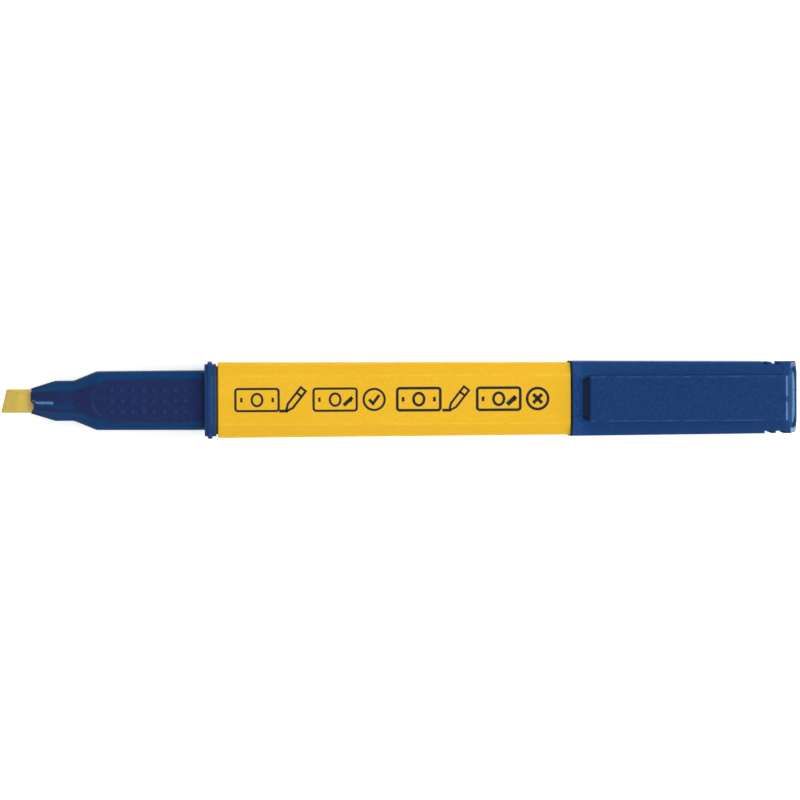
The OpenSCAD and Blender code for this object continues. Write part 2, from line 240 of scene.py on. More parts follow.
def slab_outline(profile, y_half, edge, steps):
    """(vertices, faces) of a bar across Y whose side view is profile, a list of (x, z), with rounded rims."""
    profile = np.array(profile)
    area = np.sum(profile[:, 0] * np.roll(profile[:, 1], -1) - np.roll(profile[:, 0], -1) * profile[:, 1])
    if area < 0:
        profile = profile[::-1]
    along = np.roll(profile, -1, 0) - np.roll(profile, 1, 0)
    along /= np.linalg.norm(along, axis=1)[:, None]
    outward = np.column_stack([along[:, 1], -along[:, 0]])
    rings = []
    for side in (-1, 1):
        angles = quarter(steps) if side < 0 else quarter(steps)[::-1]
        for a in angles:
            flat = profile - outward * edge * (1 - math.sin(a))
            y = side * (y_half - edge * (1 - math.cos(a)))
            rings.append(np.column_stack([flat[:, 0], np.full(len(flat), y), flat[:, 1] + AXIS_Z]))
    return loft(rings)


def link(thing):
    """Puts an object in the scene."""
    bpy.context.scene.collection.objects.link(thing)


def add_mesh(name, shells):
    """A mesh object made of one or more (vertices, faces) shells in millimetres."""
    vertices, faces = [], []
    for shell_vertices, shell_faces in shells:
        start = sum(len(v) for v in vertices)
        vertices.append(np.asarray(shell_vertices))
        faces += [tuple(start + i for i in f) for f in shell_faces]
    mesh = bpy.data.meshes.new(name)
    mesh.from_pydata((np.vstack(vertices) * MM).tolist(), [], faces)
    mesh.validate()
    bm = bmesh.new()
    bm.from_mesh(mesh)
    bmesh.ops.recalc_face_normals(bm, faces=bm.faces[:])
    bm.to_mesh(mesh)
    bm.free()
    piece = bpy.data.objects.new(name, mesh)
    link(piece)
    return piece


def carve(piece, cutters):
    """Cuts the cutter shells out of a piece and keeps the result as its mesh."""
    cutter = add_mesh(piece.name + "_cutter", cutters)
    cut = piece.modifiers.new("cut", "BOOLEAN")
    cut.operation = "DIFFERENCE"
    cut.solver = "EXACT"
    cut.use_self = True
    cut.object = cutter
    bpy.context.view_layer.update()
    result = bpy.data.meshes.new_from_object(piece.evaluated_get(bpy.context.evaluated_depsgraph_get()))
    piece.modifiers.clear()
    piece.data = result
    bpy.data.objects.remove(cutter)


def make_piece(name, shells, body, material, nodes=(), cuts=(), sharp=40, flat=True):
    """Builds a visible piece from shells, less the cuts, on its body. flat keeps broad faces flat."""
    piece = add_mesh(name, shells)
    if cuts:
        carve(piece, cuts)
    piece.data.shade_smooth()
    piece.data.set_sharp_from_angle(angle=math.radians(sharp))
    if flat:
        weighted = piece.modifiers.new("flat_faces", "WEIGHTED_NORMAL")
        weighted.keep_sharp = True
        weighted.weight = 100
    piece.data.materials.clear()
    piece.data.materials.append(material)
    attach(piece, body)
    if nodes:
        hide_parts(*nodes)


# ----- material helpers


class Look:
    """A principled material with a few node shortcuts. Textures read the row frame in millimetres."""

    def __init__(self, name, roughness, specular=0.5, **settings):
        self.material = bpy.data.materials.new(name)
        self.material.use_nodes = True
        self.tree = self.material.node_tree
        self.shader = self.tree.nodes["Principled BSDF"]
        self.shader.inputs["Roughness"].default_value = roughness
        self.shader.inputs["Specular IOR Level"].default_value = specular
        for key, value in settings.items():
            self.shader.inputs[key.replace("_", " ")].default_value = value
        self.coordinates = self.node("ShaderNodeTexCoord").outputs["Object"]

    def node(self, kind, **attributes):
        made = self.tree.nodes.new(kind)
        for key, value in attributes.items():
            setattr(made, key, value)
        return made

    def feed(self, socket, value):
        if isinstance(value, bpy.types.NodeSocket):
            self.tree.links.new(value, socket)
        elif isinstance(value, tuple):
            socket.default_value = (*value, 1) if len(value) == 3 and socket.type == "RGBA" else value
        else:
            socket.default_value = value

    def noise(self, grain_mm, detail=3, stretch=(1, 1, 1), rough=0.55):
        """Noise with grains of about grain_mm, drawn out along an axis by stretch."""
        mapping = self.node("ShaderNodeMapping")
        mapping.inputs["Scale"].default_value = tuple(1 / (grain_mm * MM * s) for s in stretch)
        self.feed(mapping.inputs["Vector"], self.coordinates)
        made = self.node("ShaderNodeTexNoise")
        self.feed(made.inputs["Vector"], mapping.outputs["Vector"])
        made.inputs["Scale"].default_value = 1
        made.inputs["Detail"].default_value = detail
        made.inputs["Roughness"].default_value = rough
        return made.outputs["Fac"]

    def math(self, operation, a, b=0.0):
        made = self.node("ShaderNodeMath", operation=operation)
        for socket, value in zip(made.inputs, (a, b)):
            self.feed(socket, value)
        return made.outputs[0]

    def plus(self, a, b):
        return self.math("ADD", a, b)

    def minus(self, a, b):
        return self.math("SUBTRACT", a, b)

    def times(self, first, *others):
        for other in others:
            first = self.math("MULTIPLY", first, other)
        return first

    def distance(self, a, b):
        return self.math("ABSOLUTE", self.minus(a, b))

    def remap(self, value, low, high, to_low=0.0, to_high=1.0, smooth=True):
        made = self.node("ShaderNodeMapRange", interpolation_type="SMOOTHSTEP" if smooth else "LINEAR")
        for key, number in (("From Min", low), ("From Max", high), ("To Min", to_low), ("To Max", to_high)):
            self.feed(made.inputs[key], number)
        self.feed(made.inputs["Value"], value)
        return made.outputs["Result"]

    def linear(self, value, low, high, to_low, to_high):
        return self.remap(value, low, high, to_low, to_high, smooth=False)

    def fall(self, value, low, high):
        return self.remap(value, low, high, 1.0, 0.0)

    def mix(self, share, a, b):
        made = self.node("ShaderNodeMix", data_type="RGBA")
        for key, value in (("Factor", share), ("A", a), ("B", b)):
            self.feed(made.inputs[key], value)
        return made.outputs["Result"]

    def position(self, axis):
        """Place along an axis in millimetres, in the row frame."""
        split = self.node("ShaderNodeSeparateXYZ")
        self.feed(split.inputs["Vector"], self.coordinates)
        return self.times(split.outputs[axis], 1 / MM)

    def across(self):
        """Distance from the pen's middle plane in millimetres."""
        return self.math("ABSOLUTE", self.position("Y"))

    def facing(self, axis):
        """The surface normal's part along an axis."""
        split = self.node("ShaderNodeSeparateXYZ")
        self.feed(split.inputs["Vector"], self.node("ShaderNodeTexCoord").outputs["Normal"])
        return split.outputs[axis]

    def facing_up(self):
        """How much the surface faces up or down: 1 on the broad faces, 0 on the narrow sides."""
        return self.math("ABSOLUTE", self.facing("Z"))

    def bump(self, height, distance_mm, strength=1.0, under=None):
        made = self.node("ShaderNodeBump")
        made.inputs["Strength"].default_value = strength
        made.inputs["Distance"].default_value = distance_mm * MM
        self.feed(made.inputs["Height"], height)
        if under is not None:
            self.feed(made.inputs["Normal"], under)
        return made.outputs["Normal"]

    def wear_and_sheen(self, colour, light, share, edge_places):
        """Lightens a colour along edges at these distances from the pen's middle plane, in millimetres:
        rubbed wear, and a painted highlight where the rounded edges catch the light.
        """
        across = self.across()
        edges = 0.0
        for place, width in edge_places:
            line = self.fall(self.distance(across, place), 0.0, width)
            edges = self.math("MAXIMUM", edges, line)
        patchy = self.remap(self.noise(2.2, 4), 0.35, 0.62)
        edges = self.times(edges, self.remap(self.facing_up(), 0.4, 0.75), patchy, share)
        return self.mix(edges, colour, light)

    def done(self, colour, normal=None, roughness=None):
        for key, value in (("Base Color", colour), ("Normal", normal), ("Roughness", roughness)):
            if value is not None:
                self.feed(self.shader.inputs[key], value)
        return self.material


def moulded(name, base, light, dark, edge_places, grain=0.16, grain_depth=0.006, roughness=(0.34, 0.46),
            specular=0.22, wear_and_sheen=0.5, steep_gloss=0.25, steep_span=(0.6, 0.95), shades=(), matt_ends=False,
            dull_span=None, **settings):
    """Moulded plastic: soft colour drift, spark-eroded grain, faint flow lines and lightly rubbed edges with
    a painted edge highlight.

    steep_gloss is the share of the gloss left on steep sides, and steep_span is where it fades; shades are
    functions that darken or lighten places; dull_span is the middle and half width of a duller strip."""
    look = Look(name, roughness[0], specular, **settings)
    drift = look.remap(look.noise(9.0, 2, (3, 1, 1)), 0.3, 0.7)
    colour = look.mix(look.times(drift, 0.5), base, dark)
    speckle = look.remap(look.noise(0.45, 4, rough=0.7), 0.42, 0.72)
    colour = look.mix(look.times(speckle, 0.5), colour, light)
    # Lighter edge lines: rubbed wear and a painted highlight on the rounded edges.
    colour = look.wear_and_sheen(colour, light, wear_and_sheen, edge_places)
    for shade in shades:
        colour = shade(look, colour)
    flow = look.noise(1.4, 3, (18, 1, 1))
    normal = look.bump(flow, 0.02, 0.35)
    normal = look.bump(look.noise(grain, 2), grain_depth, 0.8, normal)
    gloss = look.linear(look.noise(1.7, 4), 0.3, 0.7, roughness[0], roughness[1])
    if matt_ends:
        gloss = look.math("MAXIMUM", gloss, look.remap(look.facing_up(), 0.6, 0.97, 0.75, 0.0))
    strength = look.remap(look.facing_up(), *steep_span, specular * steep_gloss, specular)
    if dull_span is not None:
        middle, half = dull_span
        off = look.distance(look.position("Y"), middle)
        strength = look.times(strength, look.remap(off, half * 0.5, half * 1.5, 0.1, 1.0))
    look.feed(look.shader.inputs["Specular IOR Level"], strength)
    return look.done(colour, normal, gloss)


# ----- local shades: painted shadows, painted reflections and a rubbed cap mouth

POCKET_SHADOW = (0.027, 0.037, 0.083)
MOUTH_SHADOW = (0.004, 0.012, 0.035)
# Painted reflection of the barrel's yellow on the collar's rear edge.
PAINTED_YELLOW_REFLECTION = (0.065, 0.06, 0.03)
# Painted light on the end face: the rim's painted light, painted reflections and a painted shade line round
# the oval.
END_RIM_PAINTED_LIGHT = (0.008, 0.04, 0.105)
END_PAINTED_REFLECTION = (0.078, 0.125, 0.205)
END_PAINTED_REFLECTION_MINUS_Y = (0.152, 0.212, 0.32)
OVAL_PAINTED_SHADE_LINE = (0.003, 0.018, 0.055)
OVAL_PAINTED_REFLECTION_LOW = (0.085, 0.165, 0.275)
OVAL_PAINTED_REFLECTION_HIGH = (0.037, 0.098, 0.2)


def pocket_shade(look, colour):
    """Darkens the relief under the clip's tip, where little light reaches."""
    x, z = look.position("X"), look.position("Z")
    top = AXIS_Z + CAP_TOP
    end_x = POCKET_X + POCKET_L
    share = look.times(look.remap(x, POCKET_X - 0.3, POCKET_X), look.fall(x, end_x, end_x + 0.3),
                       look.fall(z, top - 0.4, top - 0.12), look.remap(z, top - 1.5, top - 1),
                       look.fall(look.across(), 4.6, 4.75))
    return look.mix(share, colour, POCKET_SHADOW)


def mouth_shade(look, colour):
    """Rubs the cap pale and speckled near its mouth, and darkens its lip, which the joint keeps in shadow."""
    x = look.position("X")
    rubbed = look.remap(x, MOUTH_X + 1.4, MOUTH_X + 2.6, 0.8, 0.0)
    specks = look.remap(look.noise(0.3, 3), 0.4, 0.6)
    colour = look.mix(look.times(rubbed, specks), colour, BLUE_LIGHT)
    lip = look.remap(x, MOUTH_X + 0.1, MOUTH_X + 0.3, 0.85, 0.0)
    return look.mix(lip, colour, MOUTH_SHADOW)


def joint_painted_reflection(look, colour):
    """Tints the collar's rear edge with a painted reflection: the yellow light that the barrel's end throws
    on it.
    """
    share = look.remap(look.position("X"), barrel_lo[0] - 0.8, barrel_lo[0] - 0.15, 0.0, 0.9)
    return look.mix(share, colour, PAINTED_YELLOW_REFLECTION)


def end_face_painted_light(look, colour):
    """Painted light on the leaning end face: pale painted reflections at the rim's ends, paler on the -Y
    side, a dark painted shade line round the oval and a pale painted reflection in its middle that brightens
    towards the bottom.
    """
    on_face = look.remap(look.facing("X"), 0.75, 0.9)
    across = look.across()
    rise = look.minus(look.position("Z"), AXIS_Z)
    beyond = look.math("MAXIMUM", look.minus(across, (OVAL_W - OVAL_T) / 2), 0.0)
    squares = look.plus(look.times(beyond, beyond), look.times(rise, rise))
    off = look.minus(look.math("SQRT", squares), OVAL_T / 2)
    outline = look.fall(off, 0.15, 0.55)
    inside = look.times(look.fall(off, -0.95, -0.45), look.fall(rise, 0.9, 1.9))
    # The rim and the oval's middle are painted reflections; the outline round the oval is painted shade.
    ends = look.mix(look.remap(look.position("Y"), -5.9, -5.6), END_PAINTED_REFLECTION_MINUS_Y, END_PAINTED_REFLECTION)
    rim = look.mix(look.remap(across, 5.7, 6.2), END_RIM_PAINTED_LIGHT, ends)
    middle = look.mix(look.remap(rise, -2.5, 1.5), OVAL_PAINTED_REFLECTION_LOW, OVAL_PAINTED_REFLECTION_HIGH)
    colour = look.mix(on_face, colour, rim)
    colour = look.mix(look.times(on_face, outline), colour, OVAL_PAINTED_SHADE_LINE)
    return look.mix(look.times(on_face, inside), colour, middle)


# ----- materials

YELLOW = (0.75, 0.427, 0.018)
YELLOW_LIGHT = (0.83, 0.51, 0.045)
YELLOW_DARK = (0.70, 0.39, 0.012)
BLUE = (0.0092, 0.0428, 0.151)
BLUE_LIGHT = (0.0185, 0.066, 0.224)
BLUE_DARK = (0.0062, 0.033, 0.125)
CLIP_BLUE = (0.0095, 0.0328, 0.115)
CLIP_BLUE_DARK = (0.0068, 0.0257, 0.092)
TEAL = (0.0055, 0.043, 0.133)
SMOKE = (0.012, 0.032, 0.112)
WINE = (0.0175, 0.0195, 0.072)
COLLAR_SHADOW = (0.0175, 0.021, 0.05)
RIM_SHADOW = (0.0045, 0.014, 0.04)
# Painted highlight on the finger rest's front rim.
ARC_PAINTED_HIGHLIGHT = (0.0125, 0.05, 0.15)
GLINT = (0.28, 0.58, 1.0, 1)
FLAT_EDGE = FLAT_W / 2

barrel_material = moulded("barrel_plastic", YELLOW, YELLOW_LIGHT, YELLOW_DARK, [(FLAT_EDGE, 0.3), (7.0, 0.3)],
                          grain=0.2, grain_depth=0.003, roughness=(0.36, 0.46), wear_and_sheen=0.6)
cap_material = moulded("cap_plastic", BLUE, BLUE_LIGHT, BLUE_DARK, [(FLAT_EDGE, 0.25), (6.9, 0.3)], wear_and_sheen=0.3,
                       shades=(pocket_shade, mouth_shade), Specular_Tint=GLINT)
# The end plug's face carries painted light: reflections and a shade line round the oval.
plug_material = moulded("plug_plastic", BLUE, BLUE_LIGHT, BLUE_DARK, [(4.75, 0.25)], wear_and_sheen=0.5, matt_ends=True,
                        steep_gloss=0.05, shades=(end_face_painted_light,), Specular_Tint=GLINT)
root_material = moulded("root_plastic", CLIP_BLUE, BLUE_LIGHT, CLIP_BLUE_DARK, [(4.1, 0.2)], grain=0.25,
                        grain_depth=0.012, roughness=(0.18, 0.3), specular=0.6, steep_gloss=0.0,
                        steep_span=(0.45, 0.75), dull_span=(-0.15, 0.55), Specular_Tint=GLINT)
# The clip's bright edge lines are rubbed wear and a painted highlight.
clip_material = moulded("clip_plastic", CLIP_BLUE, BLUE_LIGHT, CLIP_BLUE_DARK, [(4.3, 0.35)], grain=0.2,
                        grain_depth=0.008, wear_and_sheen=1.0, steep_gloss=0.05, Specular_Tint=GLINT)
tail_material = moulded("tail_plastic", BLUE, BLUE_LIGHT, BLUE_DARK, [(5.6, 0.3)], grain=0.3,
                        grain_depth=0.002, roughness=(0.28, 0.36))


def section_rim(look, x, across, neck_end):
    """Share of the dark line along the section's outline."""
    body_x = neck_end + FLARE_L
    half = look.linear(x, section_lo[0], section_lo[0] + TAPER_L, 2.45, 3.93)
    half = look.plus(half, look.linear(x, neck_end, body_x, 0.0, 1.8))
    half = look.plus(half, look.linear(x, body_x, COLLAR_X, 0.0, 0.1))
    return look.remap(look.minus(across, half), -0.6, -0.1)


def rest_arc_painted_highlight(look, x, y):
    """Share of the painted highlight: a pale arc on the front rim of the finger rest, where the rim's fillet
    catches the light.
    """
    from_centre = look.minus(x, REST_FRONT_X + REST_HALF[0])
    squares = look.plus(look.times(from_centre, from_centre), look.times(y, y))
    off_rim = look.distance(look.math("SQRT", squares), REST_HALF[0] - 0.25)
    return look.times(look.fall(off_rim, 0.05, 0.25), look.fall(y, -0.2, 0.4),
                      look.fall(from_centre, -1.6, -1.2))


def section_plastic():
    """Translucent teal plastic: the nib, the soaked reservoir and the air channel show through as bands; a
    painted highlight lies on the finger rest's rim.
    """
    look = Look("section_plastic", 0.22, 0.35, Specular_Tint=GLINT)
    x, y = look.position("X"), look.position("Y")
    across = look.math("ABSOLUTE", y)

    def band(middle, half, soft):
        off = look.distance(y, middle)
        return look.fall(look.minus(off, half), -soft, soft)

    def span(start, end, soft):
        return look.times(look.remap(x, start - soft, start + soft), look.fall(x, end - soft, end + soft))

    neck_x = section_lo[0] + TAPER_L
    neck_end = neck_x + NECK_L
    uneven = look.times(look.minus(look.noise(2.4, 2, (2.5, 1, 1)), 0.5), 1.6)
    core_half = look.plus(look.linear(x, neck_end + 0.2, neck_end + 6.5, 2.2, 4.3), uneven)
    core = look.fall(look.minus(across, core_half), -0.55, 0.35)
    core = look.times(core, span(neck_end + 0.1, COLLAR_X + 1, 0.35))
    nib_band = look.times(band(-0.15, 2.15, 0.4), span(section_lo[0] - 0.3, neck_end + 0.6, 0.4))
    channel = look.times(band(-1.15, 0.35, 0.4), span(section_lo[0] + 0.6, neck_end + 0.1, 0.2))
    shade = look.times(band(0, 5.2, 0.2), span(COLLAR_X - 0.75, COLLAR_X + 1, 0.18))
    under_rim = look.times(band(-4.95, 0.12, 0.18), span(REST_FRONT_X + 2, COLLAR_X, 1.5))

    drift = look.remap(look.noise(5.0, 2, (2, 1, 1)), 0.3, 0.7)
    mottle = look.remap(look.noise(0.9, 3), 0.35, 0.65)
    shell = look.mix(look.times(drift, 0.5), TEAL, BLUE)
    wine = look.mix(look.times(mottle, 0.55), WINE, SMOKE)
    colour = look.mix(look.times(nib_band, 0.85), shell, wine)
    colour = look.mix(look.times(core, 0.92), colour, wine)
    colour = look.mix(look.times(channel, 0.8), colour, TEAL)
    colour = look.mix(look.times(under_rim, 0.45), colour, WINE)
    colour = look.mix(look.times(shade, 0.75), colour, COLLAR_SHADOW)
    colour = look.mix(look.times(look.remap(look.noise(0.5, 3), 0.5, 0.8), 0.15), colour, BLUE_LIGHT)
    colour = look.mix(look.times(section_rim(look, x, across, neck_end), 0.6), colour, RIM_SHADOW)
    # Painted highlight on the finger rest's front rim.
    colour = look.mix(look.times(rest_arc_painted_highlight(look, x, y), 0.65), colour, ARC_PAINTED_HIGHLIGHT)
    normal = look.bump(look.noise(0.25, 2), 0.002, 0.2)
    polished = look.times(look.fall(across, 1.6, 2.2), look.fall(x, neck_x, neck_x + 0.4))
    gloss = look.linear(polished, 0.0, 1.0, 0.34, 0.11)
    strength = look.linear(polished, 0.0, 1.0, 0.08, 0.35)
    look.feed(look.shader.inputs["Specular IOR Level"], strength)
    return look.done(colour, normal, gloss)


def felt(name, pale, deep, soaked, fibre_mm=0.09, length=24, depth=0.03, shade_from=None):
    """Bonded fibres that run along the pen, unevenly soaked, and darker behind shade_from."""
    look = Look(name, 0.85, 0.2, Sheen_Weight=0.25, Sheen_Roughness=0.5)
    fibres = look.noise(fibre_mm, 3, (length, 1, 1), 0.6)
    patches = look.remap(look.noise(1.1, 3), 0.35, 0.65)
    colour = look.mix(look.remap(fibres, 0.35, 0.65), deep, pale)
    colour = look.mix(look.times(patches, 0.35), colour, soaked)
    if shade_from is not None:
        near = look.remap(look.position("X"), shade_from - 1.6, shade_from + 0.1)
        colour = look.mix(look.times(near, 0.6), colour, (0.34, 0.27, 0.12))
    normal = look.bump(fibres, depth, 0.7)
    return look.done(colour, normal)


section_material = section_plastic()
pip_material = moulded("pip_plastic", (0.0105, 0.031, 0.112), (0.0105, 0.034, 0.122), SMOKE, [], grain=0.2,
                       grain_depth=0.002, roughness=(0.4, 0.5), specular=0.08)
# The collar's rear edge carries a painted yellow reflection of the barrel.
collar_material = moulded("collar_plastic", (0.0078, 0.044, 0.142), BLUE_LIGHT, BLUE_DARK, [(6.9, 0.3)],
                          grain=0.2, grain_depth=0.004, roughness=(0.3, 0.4), shades=(joint_painted_reflection,))
nib_material = felt("nib_felt", (0.66, 0.49, 0.105), (0.53, 0.38, 0.065), (0.6, 0.42, 0.06),
                    shade_from=section_lo[0])
core_material = felt("reservoir_felt", (0.62, 0.45, 0.15), (0.5, 0.34, 0.1), (0.55, 0.36, 0.07), 0.16, 30)


def film():
    """Thin wrapping film with lengthwise wrinkles."""
    look = Look("reservoir_film", 0.2, 0.5)
    wrinkles = look.noise(0.8, 3, (12, 1, 1))
    colour = look.mix(look.remap(wrinkles, 0.3, 0.7), (0.62, 0.61, 0.55), (0.8, 0.79, 0.74))
    return look.done(colour, look.bump(wrinkles, 0.05, 0.8))


def natural_plastic():
    """Uncoloured moulded plastic of the inner cap, a little cloudy."""
    look = Look("inner_cap_plastic", 0.4, 0.4, Subsurface_Weight=0.1)
    cloud = look.remap(look.noise(2.5, 3), 0.3, 0.7)
    colour = look.mix(cloud, (0.66, 0.68, 0.7), (0.76, 0.77, 0.78))
    return look.done(colour, look.bump(look.noise(0.3, 2), 0.006, 0.6))


def ink():
    """Screen-printed blue-black ink, a little thin in places."""
    look = Look("print_ink", 0.42, 0.35)
    thin = look.remap(look.noise(0.35, 4), 0.55, 0.85)
    colour = look.mix(look.times(thin, 0.25), (0.0145, 0.0178, 0.0215), (0.12, 0.08, 0.02))
    return look.done(colour, look.bump(look.noise(0.12, 2), 0.004, 0.6))


film_material = film()
inner_cap_material = natural_plastic()
ink_material = ink()

# ----- barrel


def barrel_tube():
    """The yellow tube: drafted outside, rounded rims and an open bore."""
    front_w, front_t = barrel_hi[1:] - barrel_lo[1:]
    front = shell_outline(front_w, front_t)
    rear = shell_outline(BARREL_REAR_W, front_t - BARREL_DRAFT)
    bore = chamfered(*BARREL_BORE)[0]
    rings = [ring(barrel_lo[0], bore), *front_rim(barrel_lo[0], front, r=0.22, steps=4),
             *rear_rim(barrel_hi[0], rear, r=0.1, steps=4), ring(barrel_hi[0], bore)]
    make_piece("barrel_tube", [loft(rings, loop=True)], "pen", barrel_material, ["barrel"])


barrel_tube()

# ----- front section


def blended(x, stations):
    """Values at x from (x, values) stations, eased at each station so that the shape has no hard kinks."""
    places = [s[0] for s in stations]
    ease = 0.3
    total = 0
    for shift in (-1, -0.5, 0, 0.5, 1):
        total = total + np.array([np.interp(x + shift * ease, places, [s[1][k] for s in stations])
                                  for k in range(len(stations[0][1]))])
    return total / 5


def section_shape(x):
    """Width, thickness, chamfers, corner radius and crown of the section at x."""
    neck_x = section_lo[0] + TAPER_L
    body_x = neck_x + NECK_L + FLARE_L
    return blended(x, [
        (section_lo[0], (4.9, 2.9, 0.85, 0.7, 0.5, 0.3)), (neck_x, (7.85, 6.2, 2.1, 1.7, 1.3, 0.65)),
        (neck_x + NECK_L, (7.85, 6.2, 2.1, 1.7, 1.3, 0.4)), (body_x, (11.45, SECTION_T, 2.3, 1.7, 1.3, 0)),
        (COLLAR_X, (11.65, SECTION_T, 2.3, 1.7, 1.3, 0))])


def section_outline(x, flats):
    """The section's points at x: an octagon with big round corners, its broad faces slightly crowned."""
    w, t, cy, cz, r, crown = section_shape(x)
    points, normals = chamfered(w, t, cy, cz, r, flats=flats)
    points = points.copy()
    points[:, 1] *= 1 + crown * (np.cos(np.clip(points[:, 0] / w, -0.5, 0.5) * math.pi) - 0.5) / (t / 2)
    return points, normals


def rest_level(x):
    """Height of the sloping floor of the finger rest."""
    share = (x - REST_FRONT_X) / (COLLAR_X - REST_FRONT_X)
    return SECTION_T / 2 - REST_DEPTH[0] - (REST_DEPTH[1] - REST_DEPTH[0]) * share


def rest_share(x, y):
    """1 inside the finger rest, 0 outside, with a soft rim."""
    (front_half, rear_half), rim = REST_HALF, 0.22
    centre_x = REST_FRONT_X + front_half
    if x < centre_x:
        off = math.hypot(x - centre_x, y) - front_half
    else:
        off = abs(y) - (front_half + (rear_half - front_half) * (x - centre_x) / (COLLAR_X - centre_x))
    t = min(max(0.5 - off / rim, 0), 1)
    return t * t * (3 - 2 * t)


def opening_dip(y, z):
    """How far the opening's rim falls back where the air channel breaks out beside the nib."""
    side = math.copysign(1, z)
    place = y * side + 1.05
    return 0.55 * math.exp(-((place / 0.85) ** 4)) if abs(z) > 0.3 else 0


def front_section():
    """Opening, taper, neck, flare and finger rests as one piece, and the collar as another."""
    flats = (5, 14, 52)
    step = 0.16
    stations = np.concatenate([np.arange(section_lo[0], COLLAR_X, step), [COLLAR_X + 0.05]])
    rings = []
    channel = chamfered(*NIB_CHANNEL, flats=flats)[0]
    mouth = section_outline(section_lo[0], flats)
    dips = np.array([opening_dip(y, z) for y, z in mouth[0]])
    rings.append(ring(section_lo[0] + 2.2, channel))
    rings.append(ring(section_lo[0] + 0.12 + dips, channel))
    rings.append(ring(section_lo[0] + dips, inset(mouth, 0.06)))
    for x in stations[1:]:
        points = section_outline(x, flats)[0]
        level = rest_level(x)
        for point in points:
            side = math.copysign(1, point[1])
            if x > REST_FRONT_X - 1 and abs(point[1]) > level:
                point[1] += (side * level - point[1]) * rest_share(x, point[0])
        fall = np.clip(1 - (x - section_lo[0]) / 1.1, 0, 1)
        rings.append(ring(x + dips * fall ** 2, points))
    make_piece("front_section_grip", [loft(rings)], "pen", section_material,
               ["front_section"], sharp=75, flat=False)
    make_piece("front_section_collar", [collar()], "pen", collar_material, ["front_section"])


def grip_pips():
    """The rows of raised squares on both finger rests."""
    shells = []
    slope = math.atan((REST_DEPTH[1] - REST_DEPTH[0]) / (COLLAR_X - REST_FRONT_X))
    for face in (-1, 1):
        for column in range(PIP_COLUMNS):
            for row in range(PIP_ROWS):
                x = COLLAR_X - PIP_START - column * PIP_PITCH[0]
                y = (row - (PIP_ROWS - 1) / 2) * PIP_PITCH[1]
                shells.append(pip(x, y, rest_level(x), face, slope))
    make_piece("grip_pips", shells, "pen", pip_material, sharp=80, flat=False)


def pip(x, y, level, face, slope):
    """One raised square of the grip, with a rounded top."""
    half = PIP_SIZE / 2
    vertices, faces = block(x - half, x + half, y - half, y + half,
                            level - PIP_ROOT, level + PIP_RISE, 0.3, 6)
    lean = (vertices[:, 0] - x) * math.tan(slope)
    vertices[:, 2] = AXIS_Z + face * (vertices[:, 2] - AXIS_Z - lean)
    return vertices, faces


def collar():
    """Collar with the rib that stops the cap, and the spigot that closes the seam behind it."""
    body = shell_outline(COLLAR_W, COLLAR_T)
    rib = shell_outline(RIB_W, RIB_T)
    root, seam, spigot = [chamfered(*shape)[0] for shape in (COLLAR_ROOT, COLLAR_SEAM, SPIGOT)]
    rib_x, step = COLLAR_X + 0.6, 0.02
    rib_end = rib_x + 0.9
    rear_x = COLLAR_X + COLLAR_L
    seam_x = barrel_lo[0] - 0.01
    return loft([
        ring(COLLAR_X, root), *front_rim(COLLAR_X, body, r=0.28, steps=4), ring(rib_x - step, body[0]),
        *front_rim(rib_x, rib, r=0.2, steps=3), *rear_rim(rib_end, rib, r=0.2, steps=3),
        ring(rib_end + step, body[0]), *rear_rim(rear_x, body, r=0.15, steps=3), ring(rear_x, seam),
        ring(seam_x, seam), ring(seam_x, spigot), ring(section_hi[0], spigot)])


front_section()
grip_pips()

# ----- nib


def nib():
    """Chisel nib of bonded fibre with a slanted tip and worn edges."""
    w, t = nib_hi[1] - nib_lo[1], nib_hi[2] - nib_lo[2]
    slant, chisel_l, tip_t = 1.0, 3.0, 1.15
    inner_x = section_lo[0] + 14
    outline = chamfered(w, t, 0.35, 0.35, 0.3, steps=4, flats=(3, 2, 16))
    rings = []
    stem = np.linspace(chisel_l + 0.6, inner_x - nib_lo[0], 12)
    for x in np.concatenate([np.linspace(0, chisel_l, 13), stem]):
        thin = np.interp(x, [0, chisel_l], [tip_t / t, 1])
        points = outline[0] * [1, thin]
        shift = slant * (points[:, 0] / w + 0.5) * max(0, 1 - x / (chisel_l * 1.6))
        rings.append(ring(nib_lo[0] + x + shift, points))
    tip = outline[0] * [1, tip_t / t]
    shift = slant * (tip[:, 0] / w + 0.5)
    worn = [(0, 0.95, 0.45), (0.04, 0.985, 0.8), (0.16, 1, 1)]
    rings[:1] = [ring(nib_lo[0] + back + shift, tip * [wide, high]) for back, wide, high in worn]
    make_piece("nib_felt", [loft(rings)], "pen", nib_material, ["nib"], sharp=50)


nib()

# ----- cap

# Side of the pen, then where its window, its catch and the head's step start, ahead of HEAD_X.
CATCHES = [(-1, 3.4, 2.2, -0.4), (1, 3.5, 2.95, 0.65)]
CATCH_L = 1.0
CATCH_Y = 6.5
SUNK_Y = 6.1
WINDOW_HALF = 3.7
HEAD_W = 14.0
END_LEAN = math.radians(15)


def side_block(side, x0, x1, middle, half_w, half_t, bevel=0):
    """A block on one narrow side of the cap, its middle at a distance from the pen's middle plane."""
    return block(x0, x1, side * middle - half_w, side * middle + half_w, -half_t, half_t, bevel)


